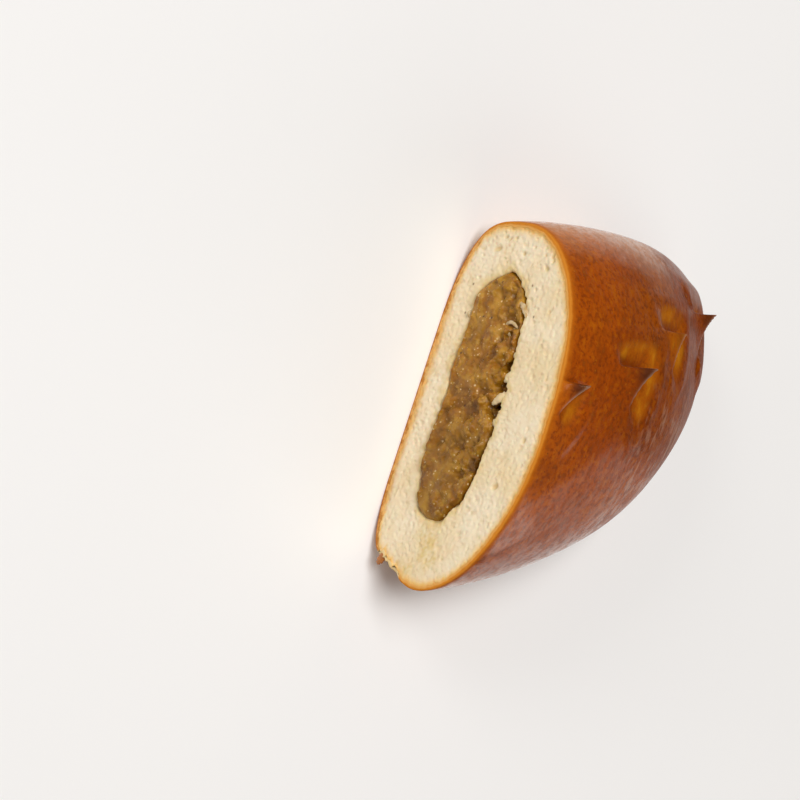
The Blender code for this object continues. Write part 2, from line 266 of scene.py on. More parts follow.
@dataclass(frozen=True)
class Snip:
    """One snip of the scissors: a lifted flap with a pointed tip and the opening round it.

    In flap coordinates p runs from the back of the flap towards its tip and q to its
    left. The flap is the wedge behind the tip. The opening lies between the flap and
    straight far edges, deepest beside the flap. A pair of values named as a rise is
    where an amount leaves zero and where it reaches one.
    """

    station: float
    side: float
    height: float
    turn: float
    left: float = 1.0
    right: float = 1.0
    left_slope: float = 0.62
    right_slope: float = 0.95
    flap_length: float = 7.6 * MM
    flap_power: float = 2.1
    tip_width: float = 0.35 * MM
    front: float = 2.0 * MM
    lean: float = 0.35
    opening: float = 1.7 * MM
    softness: float = 0.5 * MM
    left_far: tuple[float, float] = (5.3 * MM, 0.51)
    right_far: tuple[float, float] = (9.1 * MM, 1.19)
    right_back: tuple[float, float] = (8.6 * MM, 0.47)
    back: float = 6.3 * MM
    corner: float = 1.2 * MM
    colored_corner: float = 2.4 * MM
    colored_rise: tuple[float, float] = (-0.4 * MM, 1.7 * MM)
    golden_rise: tuple[float, float] = (0.4 * MM, 2.8 * MM)
    shaded_gold: float = 0.20
    lip: float = 2.0 * MM
    wall: float = 0.35 * MM
    ledge: float = 0.2 * MM
    round_over: float = 2.2 * MM
    crown: float = 0.55
    rim: float = 0.22 * MM
    rim_reach: float = 1.2 * MM
    painted_highlight: tuple[float, float] = (0.15 * MM, 0.38 * MM)
    painted_highlight_rise: tuple[float, float] = (-6.5 * MM, -3.5 * MM)
    toast: float = 1.0
    toast_rise: tuple[float, float] = (0.14, 0.62)
    gold: float = 0.0
    gold_rise: tuple[float, float] = (-7.0 * MM, -4.0 * MM)

    @staticmethod
    def inside(p: Array, q: Array, reach: float, slope: float) -> Array:
        """Return the distance inside the straight edge q = reach - slope * p."""
        return (reach - slope * p - q) / math.hypot(1.0, slope)

    def shape(self, points: Array) -> tuple[Array, Array, Masks]:
        """Work out the flap and its opening.

        The flap height is height * (1 + p/length)^power inside the wedge. The opening
        depth is opening * g / (g + f), where g is the distance inside the far edges and
        f the distance outside the flap.

        Args:
            points: Points in bun coordinates.

        Returns:
            The rise of the skin, its shift forwards, and the masks of the opening, the painted
            shade in it beside the flap, the toasted tip and the painted highlight along the
            right edge of the flap.
        """
        p, q = turned(points[..., 0] - self.station, points[..., 1] - self.side, self.turn)
        left_edge = self.inside(p, q, self.tip_width, self.left_slope)
        right_edge = self.inside(p, -q, self.tip_width, self.right_slope)
        inside = np.minimum(left_edge, right_edge)
        far = [
            self.inside(p, q, self.left * self.left_far[0], self.left_far[1]),
            self.inside(p, -q, self.right * self.right_far[0], self.right_far[1]),
            self.inside(p, -q, self.right * self.right_back[0], self.right_back[1]),
            p + self.back,
        ]
        margin = smallest(far, self.corner)
        outside = np.maximum(-inside, 0.0)
        gap = np.maximum(margin, 0.0)
        depth = self.opening * gap / (gap + outside + self.softness)
        depth = depth * smooth_step(margin, 0.0, self.lip)
        rim = self.rim * hump(margin + 0.8 * self.rim_reach, self.rim_reach)
        back = np.clip(1.0 + p / self.flap_length, 0.0, 1.0)
        rounded = np.sqrt(smooth_step(inside, -self.ledge, self.round_over))
        crown = self.crown + (1.0 - self.crown) * rounded
        flap = self.height * back ** self.flap_power * (crown * (1.0 - back ** 3) + back ** 3)
        on_flap = smooth_step(inside, -self.wall, self.ledge) * (p < self.front)
        height = on_flap * flap
        wide = smooth_step(smallest(far, self.colored_corner), *self.colored_rise)
        opened = (1.0 - on_flap) * wide
        away = smooth_step(outside, *self.golden_rise)
        # painted highlight: a band along the right edge of the flap, near its tip
        painted_highlight = hump(right_edge - self.painted_highlight[0], self.painted_highlight[1]) * (left_edge > 0.0)
        painted_highlight = painted_highlight * smooth_step(p, *self.painted_highlight_rise) * (p < 0.5 * self.front)
        gold = self.gold * on_flap * smooth_step(p, *self.gold_rise)
        toasted = smooth_step(flap / self.height, *self.toast_rise)
        # painted shade: the opening's gold is less beside the flap, where the shade mask darkens it
        masks = {
            Mask.SNIP: opened * (self.shaded_gold + (1.0 - self.shaded_gold) * away) + gold,
            Mask.SHADE: opened * (1.0 - away),
            Mask.TOAST: self.toast * on_flap * toasted,
            Mask.PAINTED_HIGHLIGHT: painted_highlight,
        }
        return height + (1.0 - on_flap) * (rim - depth), self.lean * height, masks


@dataclass(frozen=True)
class Tear:
    """The lower corner of the cut edge that was torn off."""

    v: float = -41.5 * MM
    z: float = 6.5 * MM
    reach: float = 6.0 * MM
    bite: float = 3.4 * MM
    depth: float = 15.0 * MM
    jag: float = 0.35 * MM
    shown: float = 1.6 * MM

    def bites(self, points: Array) -> tuple[Array, Array]:
        """Return how far points in cut coordinates move along +v, and the torn mask."""
        near = hump(np.hypot(points[..., 1] - self.v, points[..., 2] - self.z), self.reach)
        deep = np.clip(1.0 - points[..., 0] / self.depth, 0.0, 1.0)
        flat = points[..., 1:]
        rough = WaveNoise(2.6 * MM, 71).at(flat) + 0.7 * WaveNoise(1.0 * MM, 72).at(flat)
        torn = smooth_step(near + 0.08 * rough, 0.34, 0.46)
        shift = self.bite * near * deep + self.jag * torn * rough * deep
        return shift, torn * (1.0 - smooth_step(points[..., 0], 0.3 * MM, self.shown))


@dataclass
class BunSkin:
    """Outer skin of the half with its snips, its unevenness and the torn corner."""

    form: BunForm = field(default_factory=BunForm)
    cut: Cut = field(default_factory=Cut)
    tear: Tear = field(default_factory=Tear)
    snips: Sequence[Snip] = (
        Snip(4.6 * MM, 6.4 * MM, 3.0 * MM, 0.10, left=0.35, right=0.9, right_slope=0.60),
        Snip(24.9 * MM, 5.0 * MM, 3.4 * MM, 0.20, left=1.35, right=1.35),
        Snip(42.8 * MM, 7.7 * MM, 1.7 * MM, 0.12, left=1.35, right=1.05, toast=0.35, gold=0.6),
        Snip(
            63.7 * MM, 5.5 * MM, 3.4 * MM, 0.05, left=0.9, right=0.9, rim=0.8 * MM,
            rim_reach=1.7 * MM, toast=0.8,
        ),
    )
    swell: float = 0.35 * MM
    swell_waves: Sequence[tuple[float, float, float]] = (
        (61.0, 34.0, 0.4),
        (143.0, -87.0, 1.9),
        (96.0, 171.0, 4.4),
    )
    edge_round: float = 0.25 * MM
    calm: float = 1.8 * MM
    rind: float = 0.85 * MM
    middle: float = 0.0
    plane: float = 0.0

    def __post_init__(self) -> None:
        """Settle the middle of the box along the cut, as the solids have it."""
        turns = self.form.turns(400, 0.0)
        points = self.cut.to_cut(self.smooth(turns, np.linspace(0.0, 1.0, 200)))
        self.middle = 0.5 * float(points[..., 1].min() + points[..., 1].max())
        self.plane = float(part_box("bread")[0].y)

    def to_world(self, points: Array) -> Array:
        """Turn cut coordinates into world coordinates."""
        u, v, z = points[..., 0], points[..., 1], points[..., 2]
        return np.stack([self.middle - v, u + self.plane, z], axis=-1)

    def smooth(self, turns: Array, progress: Array) -> Array:
        """Return the smooth surface in bun coordinates, one row for each progress.

        x runs from the cut plane to the end of the bun. The start of each column is
        where the plane meets it, found by repeating x = cut(y(x)).
        """
        start = np.zeros_like(turns)
        for _ in range(40):
            y, _ = self.form.section(start / self.form.half, turns)
            start = 0.5 * (start + self.cut.start(y))
        x = start[None, :] + progress[:, None] * (self.form.half - start[None, :])
        y, z = self.form.section(x / self.form.half, np.broadcast_to(turns, x.shape))
        return np.stack([x, y, z], axis=-1)

    def progress(self, count: int, density: float, reach: float) -> Array:
        """Return rows from the cut to near the end, closer at the cut and the snips."""
        share = np.linspace(0.0, 1.0, self.form.samples)
        start = float(self.cut.start(np.array(self.form.spine)))
        x = start + share * (self.form.half - start)
        near = sum(hump(x - snip.station, reach) for snip in self.snips)
        weight = 1.0 + density * near + 6.0 * hump(share, 0.006) + 1.5 * share ** 10.0
        return evened(count, share, weight[1:])

    def relieved(
        self, rows: Array, inset: Union[float, Array], flaps: bool = True
    ) -> tuple[Array, Masks]:
        """Put the relief on smooth rows.

        Args:
            rows: Smooth surface in bun coordinates, three rows or more.
            inset: Distance that the result lies inside the skin.
            flaps: Whether the raised flaps are kept.

        Returns:
            The points in cut coordinates and the masks of the skin.
        """
        around = np.roll(rows, -1, axis=1) - np.roll(rows, 1, axis=1)
        normal = unit(np.cross(around, np.gradient(rows, axis=0)))
        waves = [np.sin(a * rows[..., 0] + b * rows[..., 1] + c) for a, b, c in self.swell_waves]
        raised = np.clip((rows[..., 2] - 8.0 * MM) / (10.0 * MM), 0.0, 1.0)
        rise = self.swell * sum(waves) / len(waves) * raised
        ahead = np.maximum(self.cut.to_cut(rows)[..., 0], 0.0)
        on_dome = np.clip(normal[..., 2] * 4.0, 0.0, 1.0) * smooth_step(ahead, 0.0, self.calm)
        forward = np.zeros(rows.shape[:2])
        marks: Masks = {}
        for snip in self.snips:
            lifted, shifted, masks = snip.shape(rows)
            if flaps:
                forward = forward + shifted * on_dome
            rise = rise + (lifted if flaps else np.minimum(lifted, 0.0)) * on_dome
            for mask, amount in masks.items():
                marks[mask] = np.maximum(marks.get(mask, 0.0), amount * on_dome)
        bend = np.clip(1.0 - ahead / self.edge_round, 0.0, 1.0)
        rise = rise - self.edge_round * (1.0 - np.sqrt(1.0 - bend ** 2)) - inset
        moved = rows + normal * rise[..., None]
        moved[..., 0] += forward
        moved[..., 2] = np.maximum(moved[..., 2] - self.form.base_trim, inset)
        points = self.cut.to_cut(moved)
        shift, torn = self.tear.bites(points)
        points[..., 1] += shift
        points[..., 0] *= ahead > 0.001 * MM
        under = smooth_step(-normal[..., 2], 0.55, 0.9)
        return points, {Mask.EDGE: ahead, Mask.UNDER: under, Mask.TORN: torn, **marks}

    def edge_ring(self, turns: Array, share: float) -> tuple[Array, Masks]:
        """Return the ring at the cut that lies inside the skin by a share of the rind.

        The rind varies round the cut: rind * (1 + 0.25 * noise).
        """
        rows = self.smooth(turns, np.array([0.0, 0.001, 0.002]))
        uneven = WaveNoise(3.0 * MM, 31).at(rows[:1]) + 0.6 * WaveNoise(1.1 * MM, 32).at(rows[:1])
        depth = np.maximum(self.rind * (1.0 + 0.25 * uneven), 0.25 * MM) * share
        points, masks = self.relieved(rows, depth, flaps=False)
        return points[:1], {mask: values[:1] for mask, values in masks.items()}

    def end_point(self, inset: float) -> Array:
        """Return the far end of the bun in cut coordinates, moved inwards."""
        height = self.form.height * self.form.widest_share * 0.5 - self.form.base_trim
        return self.cut.to_cut(np.array([self.form.half - inset, 0.0, height]))


@dataclass(frozen=True)
class Hollow:
    """The space in the crumb that holds the apple, and the rings that line it.

    At the cut its edge is an ellipse whose reach is scaled by a closed curve through
    equally spaced values. Behind the cut it follows the long axis of the bun and
    tapers to its end.
    """

    v: float = 0.8 * MM
    z: float = 15.9 * MM
    half_width: float = 27.0 * MM
    half_height: float = 9.0 * MM
    reaches: Sequence[float] = (
        1.01, 1.02, 1.07, 1.03, 1.00, 0.87, 0.85, 0.94, 0.97, 1.12, 1.05, 1.00,
        1.00, 1.00, 1.02, 1.09, 1.02, 0.97, 1.00, 1.00, 1.06, 1.09, 1.03, 1.03,
    )
    end: float = 51.0 * MM
    taper: float = 2.3
    rounding: float = 1.9

    @property
    def centre(self) -> Array:
        """The middle of the edge in cut coordinates."""
        return np.array([0.0, self.v, self.z])

    def angles(self, points: Array) -> Array:
        """Return the turns about the middle at which points of the cut plane lie."""
        across = (points[..., 1] - self.v) / self.half_width
        return np.arctan2((points[..., 2] - self.z) / self.half_height, across)

    def reach(self, angle: Array) -> Array:
        """Return the closed curve through the reaches, as a cubic between them."""
        values = np.array(self.reaches)
        place = (angle + math.pi) / (2.0 * math.pi) * len(values)
        first = np.floor(place).astype(int)
        t = place - first
        a, b, c, d = (values[(first + step) % len(values)] for step in (-1, 0, 1, 2))
        cubic = 2.0 * a - 5.0 * b + 4.0 * c - d + t * (3.0 * (b - c) + d - a)
        return b + 0.5 * t * (c - a + t * cubic)

    def edge(self, angle: Array, inset: Union[float, Array] = 0.0) -> Array:
        """Return the edge at the cut in cut coordinates, moved inwards by an inset."""
        reach = self.reach(angle)
        v = self.v + self.half_width * reach * np.cos(angle)
        z = self.z + self.half_height * reach * np.sin(angle)
        outline = np.stack([v, z], axis=-1)
        along = unit(np.roll(outline, -1, axis=0) - np.roll(outline, 1, axis=0))
        inward = np.stack([-along[:, 1], along[:, 0]], axis=1)
        outline = outline + inward * np.broadcast_to(inset, angle.shape)[:, None]
        return np.column_stack([np.zeros(len(angle)), outline])

    def rings(self, cut: Cut, edge: Array, end: float, count: int) -> tuple[Array, Array]:
        """Return rings from an edge to the end of the hollow, and the end point."""
        rim, middle = cut.to_bun(edge)[None], cut.to_bun(self.centre)
        share = np.sin(0.5 * math.pi * (np.arange(count) / count) ** 1.5)[:, None]
        size = fade(share, self.taper, self.rounding)
        x = rim[..., 0] + share * (end - rim[..., 0])
        y = middle[1] + (rim[..., 1] - middle[1]) * size
        z = middle[2] + (rim[..., 2] - middle[2]) * size
        rings = cut.to_cut(np.stack([x, y, z], axis=-1))
        return rings, cut.to_cut(np.array([end, middle[1], middle[2]]))


@dataclass
class ReliefMap:
    """A height and a tint over the cut face, on a fine grid that points can read."""

    low: tuple[float, float] = (-46.0 * MM, -3.0 * MM)
    high: tuple[float, float] = (50.0 * MM, 46.0 * MM)
    cell: float = 0.08 * MM

    def __post_init__(self) -> None:
        """Lay out the grid."""
        self.v = np.arange(self.low[0], self.high[0], self.cell)
        self.z = np.arange(self.low[1], self.high[1], self.cell)
        self.height = np.zeros((len(self.v), len(self.z)))
        self.tint = np.zeros_like(self.height)

    def oval(
        self, v: float, z: float, long: float, short: float, turn: float
    ) -> tuple[tuple[slice, slice], Array]:
        """Return a window of the grid round an oval and 1 - r^2 in it, at least zero.

        Args:
            v: Place of the oval's middle along the cut face.
            z: Height of its middle.
            long: Its half length.
            short: Its half width.
            turn: Angle of its length.

        Returns:
            The window, and 1 - r^2 where r is one on the oval's outline.
        """
        first = [max((at - long - low) / self.cell, 0) for at, low in zip((v, z), self.low)]
        last = [(at + long - low) / self.cell + 2 for at, low in zip((v, z), self.low)]
        window = (slice(int(first[0]), int(last[0])), slice(int(first[1]), int(last[1])))
        a, b = turned(self.v[window[0]][:, None] - v, self.z[window[1]][None, :] - z, turn)
        return window, np.maximum(1.0 - np.hypot(a / long, b / short) ** 2, 0.0)

    def blur(self, times: int) -> None:
        """Soften the height by averaging each cell with its neighbours."""
        for _ in range(times):
            for axis in (0, 1):
                before, after = np.roll(self.height, 1, axis), np.roll(self.height, -1, axis)
                self.height = 0.25 * before + 0.5 * self.height + 0.25 * after

    def read(self, values: Array, points: Array) -> Array:
        """Return values of the grid at points, mixed between the four nearest cells."""
        a = np.clip((points[..., 1] - self.low[0]) / self.cell, 0, len(self.v) - 2.001)
        b = np.clip((points[..., 2] - self.low[1]) / self.cell, 0, len(self.z) - 2.001)
        i, j = a.astype(int), b.astype(int)
        s, t = a - i, b - j
        lower = values[i, j] * (1 - s) + values[i + 1, j] * s
        upper = values[i, j + 1] * (1 - s) + values[i + 1, j + 1] * s
        return lower * (1 - t) + upper * t


def closed_faces(rings: int, width: int) -> list[Array]:
    """Return the quads between rings, and the triangles that close both ends.

    Args:
        rings: Number of rings, counted from the far end of the outside.
        width: Points of a ring. The two end points follow the last ring.
    """
    column = np.arange(width)
    following = (column + 1) % width
    ring = np.arange(rings - 1)[:, None] * width
    after = ring + width
    quads = [ring + column, after + column, after + following, ring + following]
    first, last, base = rings * width, rings * width + 1, (rings - 1) * width
    return [
        np.stack(quads, axis=-1).reshape(-1, 4),
        np.column_stack([np.full(width, first), column, following]),
        np.column_stack([np.full(width, last), base + following, base + column]),
    ]


def make_piece(
    name: str, points: Array, faces: Sequence[Array], masks: Optional[Masks] = None
) -> bpy.types.Object:
    """Make a smooth-shaded mesh object at the origin.

    Args:
        name: Name of the piece.
        points: World coordinates, one row each.
        faces: Arrays of faces, each with one row a face.
        masks: Amounts, one value a point.

    Returns:
        The new object, linked to the scene.
    """
    mesh = bpy.data.meshes.new(name)
    corners = np.concatenate([block.ravel() for block in faces])
    sizes = np.concatenate([np.full(len(block), block.shape[1]) for block in faces])
    starts = np.concatenate([[0], np.cumsum(sizes)[:-1]])
    mesh.vertices.add(len(points))
    mesh.vertices.foreach_set("co", points.astype(np.float32).ravel())
    mesh.loops.add(len(corners))
    mesh.loops.foreach_set("vertex_index", corners.astype(np.int32))
    mesh.polygons.add(len(sizes))
    mesh.polygons.foreach_set("loop_start", starts.astype(np.int32))
    mesh.polygons.foreach_set("use_smooth", np.ones(len(sizes), dtype=bool))
    mesh.update(calc_edges=True)
    mesh.validate()
    for mask, values in (masks or {}).items():
        layer = mesh.attributes.new(mask.value, "FLOAT", "POINT")
        layer.data.foreach_set("value", values.astype(np.float32).ravel())
    piece = bpy.data.objects.new(name, mesh)
    bpy.context.scene.collection.objects.link(piece)
    return piece


def make_body(
    name: str,
    skin: BunSkin,
    rings: Array,
    tips: Sequence[Array],
    masks: Masks,
    ends: Optional[tuple[float, float]] = None,
) -> bpy.types.Object:
    """Make a piece of rings in cut coordinates, closed by a tip at each end.

    Args:
        name: Name of the piece.
        skin: Skin that turns the coordinates into world coordinates.
        rings: Points, one row a ring.
        tips: The two end points.
        masks: Amounts, one value a point of the rings.
        ends: Amounts at the tips. Without them, each takes the mean of its ring.

    Returns:
        The new object.
    """
    points = np.concatenate([rings.reshape(-1, 3), np.stack(tips)])
    amounts = {
        mask: np.append(values.ravel(), ends or [values[0].mean(), values[-1].mean()])
        for mask, values in masks.items()
    }
    return make_piece(name, skin.to_world(points), closed_faces(*rings.shape[:2]), amounts)


def settle(piece: bpy.types.Object, material: bpy.types.Material, slot: Slot, *nodes: str) -> None:
    """Dress a piece, make it ride and hide the solids it stands for."""
    piece.data.materials.append(material)
    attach(piece, BODY)
    if nodes:
        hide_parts(*nodes)
    log.info("%s: %d faces", piece.name, len(piece.data.polygons))


class Wire:
    """A socket of a shader tree whose arithmetic adds Math nodes."""

    def __init__(self, tree: "Shader", socket: Any) -> None:
        """Wrap an output socket of the tree."""
        self.tree = tree
        self.socket = socket

    def _math(self, operation: str, first: Any, second: Any) -> "Wire":
        """Add a Math node and return its value."""
        return self.tree.node("ShaderNodeMath", {"operation": operation}, {0: first, 1: second})

    def __add__(self, other: Any) -> "Wire":
        """Return self + other."""
        return self._math("ADD", self, other)

    __radd__ = __add__

    def __sub__(self, other: Any) -> "Wire":
        """Return self - other."""
        return self._math("SUBTRACT", self, other)

    def __rsub__(self, other: Any) -> "Wire":
        """Return other - self."""
        return self._math("SUBTRACT", other, self)

    def __mul__(self, other: Any) -> "Wire":
        """Return self * other."""
        return self._math("MULTIPLY", self, other)

    __rmul__ = __mul__

    def clamp(self) -> "Wire":
        """Return self held between zero and one."""
        return self.tree.node("ShaderNodeClamp", {}, {0: self})

    def step(self, low: float, high: float) -> "Wire":
        """Return a smooth rise from zero at low to one at high."""
        settings = {"interpolation_type": "SMOOTHSTEP"}
        return self.tree.node("ShaderNodeMapRange", settings, {0: self, 1: low, 2: high})

    def fall(self, low: float, high: float) -> "Wire":
        """Return a smooth fall from one at low to zero at high."""
        return 1.0 - self.step(low, high)


class Shader:
    """A material whose node tree is written as expressions."""

    def __init__(self, name: str) -> None:
        """Start a material with a Principled shader."""
        self.material = bpy.data.materials.new(name)
        self.material.use_nodes = True
        self.tree = self.material.node_tree
        self.surface = self.tree.nodes["Principled BSDF"]

    def node(
        self, kind: str, settings: dict[str, Any], inputs: dict[Any, Any], output: Any = 0
    ) -> Wire:
        """Add a node.

        Args:
            kind: Type name of the node.
            settings: Properties, set before the sockets.
            inputs: Values or wires by socket name or number.
            output: Name or number of the socket to return.

        Returns:
            The chosen output.
        """
        made = self.tree.nodes.new(kind)
        for label, value in settings.items():
            setattr(made, label, value)
        for label, value in inputs.items():
            self.join(made.inputs[label], value)
        return Wire(self, made.outputs[output])

    def join(self, socket: Any, value: Any) -> None:
        """Link a wire to a socket, or set the socket's value."""
        if isinstance(value, Wire):
            self.tree.links.new(value.socket, socket)
        elif isinstance(value, tuple) and socket.type == "RGBA":
            socket.default_value = (*value, 1.0)
        else:
            socket.default_value = value

    def place(self) -> Wire:
        """Return the Object coordinates."""
        return self.node("ShaderNodeTexCoord", {}, {}, "Object")

    def axis(self, name: str) -> Wire:
        """Return the Object coordinate X, Y or Z."""
        return self.node("ShaderNodeSeparateXYZ", {}, {0: self.place()}, name)

    def mask(self, name: Mask) -> Wire:
        """Return a painted amount of the mesh."""
        return self.node("ShaderNodeAttribute", {"attribute_name": name.value}, {}, "Fac")

    def noise(
        self, size: float, detail: float = 3.0, rough: float = 0.55, stretch: Color = (1, 1, 1)
    ) -> Wire:
        """Return noise of 0 to 1 with features of about a size in metres."""
        place = self.node("ShaderNodeMapping", {}, {"Vector": self.place(), "Scale": stretch})
        inputs = {"Vector": place, "Scale": 0.5 / size, "Detail": detail, "Roughness": rough}
        return self.node("ShaderNodeTexNoise", {}, inputs)

    def cells(self, size: float) -> Wire:
        """Return the distance to the nearest of scattered points a size apart, as a share."""
        inputs = {"Vector": self.place(), "Scale": 1.0 / size}
        return self.node("ShaderNodeTexVoronoi", {}, inputs, "Distance")

    def layers(self, color: Any, *over: tuple[Any, Any]) -> Any:
        """Return a colour with others laid over it, each given as its amount and colour."""
        for amount, upper in over:
            inputs = {0: amount, 6: color, 7: upper}
            color = self.node("ShaderNodeMix", {"data_type": "RGBA"}, inputs, 2)
        return color

    def tone(self, color: Any, amount: Wire) -> Wire:
        """Return a colour made lighter or darker by an amount."""
        grey = self.node("ShaderNodeCombineColor", {}, {0: amount, 1: amount, 2: amount})
        settings = {"data_type": "RGBA", "blend_type": "MULTIPLY"}
        return self.node("ShaderNodeMix", settings, {0: 1.0, 6: color, 7: grey}, 2)

    def bumps(self, *heights: tuple[Wire, float]) -> Any:
        """Return a normal bent by heights of 0 to 1, each with the depth it stands for."""
        inputs: dict[str, Any] = {}
        for height, depth in heights:
            inputs.update(Height=height, Distance=depth, Strength=1.0)
            inputs["Normal"] = self.node("ShaderNodeBump", {}, inputs, "Normal")
        return inputs["Normal"]

    def finish(self, **sockets: Any) -> bpy.types.Material:
        """Set the sockets of the Principled shader, named with underscores."""
        for label, value in sockets.items():
            self.join(self.surface.inputs[label.replace("_", " ")], value)
        return self.material


@dataclass(frozen=True)
class CrustFinish:
    """Egg-washed crust: deep amber brown, mottled, with golden openings and dark tips."""

    amber: Color = (0.330, 0.057, 0.0016)
    deep: Color = (0.175, 0.029, 0.0018)
    warm: Color = (0.405, 0.084, 0.0022)
    golden: Color = (0.450, 0.130, 0.0022)
    toast: Color = (0.060, 0.015, 0.0050)
    dry: Color = (0.780, 0.460, 0.1700)
    scorched: Color = (0.360, 0.140, 0.0300)
    skin: Color = (0.490, 0.122, 0.0045)
    edge: Color = (0.610, 0.215, 0.0220)
    rind: Color = (0.740, 0.370, 0.0950)
    streak: Color = (0.520, 0.185, 0.0050)
    flank: Color = (0.700, 0.300, 0.0900)
    painted_sheen: Color = (0.520, 0.300, 0.2000)
    crumb: Color = (0.820, 0.600, 0.3000)

    def material(self) -> bpy.types.Material:
        """Build the finish."""
        s = Shader("crust_finish")
        broad, middle, fine = s.noise(15 * MM), s.noise(3.6 * MM), s.noise(0.9 * MM, 4.0, 0.65)
        streaks = s.noise(0.8 * MM, 3.0, 0.6, (0.35, 1.0, 1.0))
        grain, pits = s.noise(0.45 * MM, 2.0, 0.5), s.noise(0.7 * MM, 4.0, 0.7)
        specks, dots = s.cells(1.7 * MM), s.cells(3.4 * MM)
        across, length, height = s.axis("X"), s.axis("Y"), s.axis("Z")
        snipped, under, toasted = s.mask(Mask.SNIP), s.mask(Mask.UNDER), s.mask(Mask.TOAST)
        low_side = across.step(-2 * MM, 8 * MM)
        # painted shade: darker towards the far end, not on the low side and less in the openings
        shade = length.step(-26 * MM, -8 * MM) * (1.0 - low_side) * (1.0 - 0.6 * snipped)
        color = s.layers(
            self.amber,
            (broad.step(0.35, 0.65), self.warm),
            (middle.step(0.45, 0.70) * 0.40, self.deep),
            (fine.step(0.48, 0.66) * 0.50, self.deep),
            (fine.fall(0.34, 0.47) * 0.35, self.golden),
            (grain.step(0.50, 0.68) * 0.60, self.deep),
            (streaks.step(0.54, 0.74) * 0.25, self.golden),
        )
        inside = s.layers(self.golden, (streaks.step(0.42, 0.66), self.streak))
        # painted sheen: pale streaks over the dome's low half towards the far end, outside the
        # openings
        sheen = across.step(-17 * MM, -7 * MM) * length.step(-12 * MM, 0.0)
        sheen = sheen * streaks.step(0.48, 0.64) * (1.0 - snipped) * middle.step(0.36, 0.52)
        base = s.layers(self.dry, (fine.step(0.42, 0.62), self.scorched))
        near_cut = s.mask(Mask.EDGE) + 0.6 * MM * (fine - 0.5)
        inward = s.mask(Mask.RIND) + 0.5 * (fine - 0.5)
        top_side = 1.0 - 0.85 * under
        color = s.layers(
            s.tone(color, 1.0 - 0.26 * shade),
            (height.fall(18 * MM, 31 * MM) * length.fall(-8 * MM, 6 * MM) * 0.55, self.flank),
            (specks.fall(0.05, 0.17) * middle.step(0.40, 0.60) * 0.6, self.golden),
            (dots.fall(0.03, 0.08) * 0.6, self.toast),
            (snipped * (0.25 + 0.75 * middle.step(0.42, 0.60)), inside),
            # painted shade in the openings beside the flaps
            (s.mask(Mask.SHADE) * 0.60, self.deep),
            (toasted * 0.85, self.toast),
            # painted highlight along the flap edges, then painted sheen in streaks
            (s.mask(Mask.PAINTED_HIGHLIGHT) * (0.35 + 0.5 * fine), self.painted_sheen),
            (sheen * 0.34, self.painted_sheen),
            (under, base),
            (near_cut.fall(0.3 * MM, 2.3 * MM) * 0.8, self.skin),
            (near_cut.fall(0.0, 0.8 * MM) * (1.0 - under), self.edge),
            (inward.step(0.02, 0.35), s.layers(self.edge, (under * 0.7, base))),
            (inward.step(0.15, 0.65) * top_side, self.rind),
            (inward.step(0.85, 1.25) * 0.5 * top_side, self.crumb),
            (s.mask(Mask.TORN), self.crumb),
        )
        cut_skin = s.mask(Mask.EDGE).fall(0.4 * MM, 2.4 * MM)
        dull = under + s.mask(Mask.TORN) + s.mask(Mask.RIND).step(0.0, 0.1)
        dull = (dull + cut_skin + 0.8 * snipped + 0.25 * toasted).clamp()
        gloss = 0.22 + 0.78 * (low_side + 1.0 - across.step(-41 * MM, -33 * MM)).clamp()
        gloss = gloss * (1.0 - 0.65 * length.step(-8 * MM, 4 * MM))
        gloss = gloss * (0.55 + 0.70 * streaks.step(0.40, 0.62))
        blisters = specks.fall(0.05, 0.30) * middle.step(0.45, 0.6)
        return s.finish(
            Base_Color=color,
            Roughness=(0.36 + 0.12 * middle + 0.4 * dull).clamp(),
            Normal=s.bumps(
                (pits, 0.24 * MM), (blisters, 0.08 * MM), (streaks, 0.20 * MM), (middle, 0.45 * MM)
            ),
            Specular_IOR_Level=0.05,
            Coat_Weight=(gloss * (1.0 - dull)).clamp(),
            Coat_Roughness=0.12,
        )


